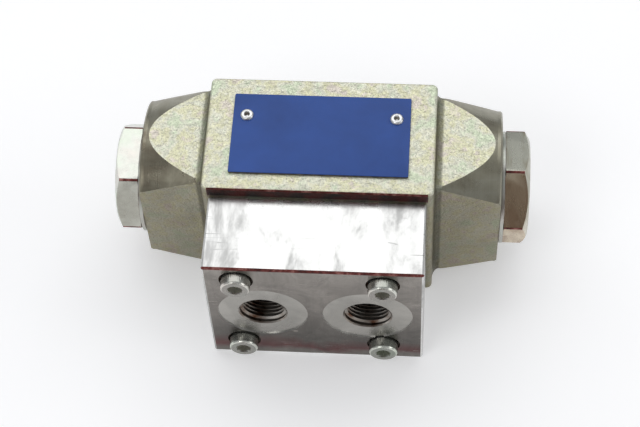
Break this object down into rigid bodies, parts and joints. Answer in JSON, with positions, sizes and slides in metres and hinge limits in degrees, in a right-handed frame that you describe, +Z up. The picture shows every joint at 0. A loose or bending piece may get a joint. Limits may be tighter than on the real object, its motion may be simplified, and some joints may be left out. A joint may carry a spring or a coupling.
{
  "type": "hydraulic control block",
  "caption": "Hydraulic spool valve block: steel body with turned conical ends and hexagon end plugs, bolted front port block with threaded ports, spring-centred spool inside.",
  "frame": {"origin": "on the base plane, straight below the spool axis at mid length, at the centre of the four tapped base holes", "axes": "+X along the spool towards the right end plug, +Y away from the port block, +Z up to the name plate"},
  "size_m": [0.187, 0.1006, 0.0852],
  "materials": {
    "cast_body": "zinc plated, pale yellow passivated, grainy",
    "milled_block": "milled, bright",
    "hardened_steel": "ground",
    "nozzle_brass": "turned",
    "seat_steel": "turned",
    "spring_steel": "oiled",
    "washer_steel": "zinc plated",
    "plug_zinc": "zinc plated, smooth",
    "seal_rubber": "matt",
    "screw_zinc": "zinc plated",
    "plate_blue": "satin blue",
    "rivet_aluminium": "bright"
  },
  "bodies": {
    "housing": {"valve_body": "cast_body", "port_block": "milled_block", "centring_spring_left": "spring_steel", "centring_spring_right": "spring_steel", "plug_seal_left": "washer_steel", "plug_seal_right": "washer_steel", "end_plug_left": "plug_zinc", "end_plug_right": "plug_zinc", "port_seal_left": "seal_rubber", "port_seal_right": "seal_rubber", "cap_screw_upper_left": "screw_zinc", "cap_screw_upper_right": "screw_zinc", "cap_screw_lower_left": "screw_zinc", "cap_screw_lower_right": "screw_zinc", "name_plate": "plate_blue", "plate_rivet_left": "rivet_aluminium", "plate_rivet_right": "rivet_aluminium"},
    "spool_group": {"spool": "hardened_steel", "damping_nozzle_left": "nozzle_brass", "damping_nozzle_right": "nozzle_brass", "spring_seat_left": "seat_steel", "spring_seat_right": "seat_steel"}
  },
  "joints": [
    {"name": "spool_slide", "type": "slide", "parent": "housing", "child": "spool_group", "axis": [1, 0, 0], "range_m": [-0.006, 0.006], "stiffness_N_per_m": 26000, "deforming": ["centring_spring_left", "centring_spring_right"]}
  ]
}
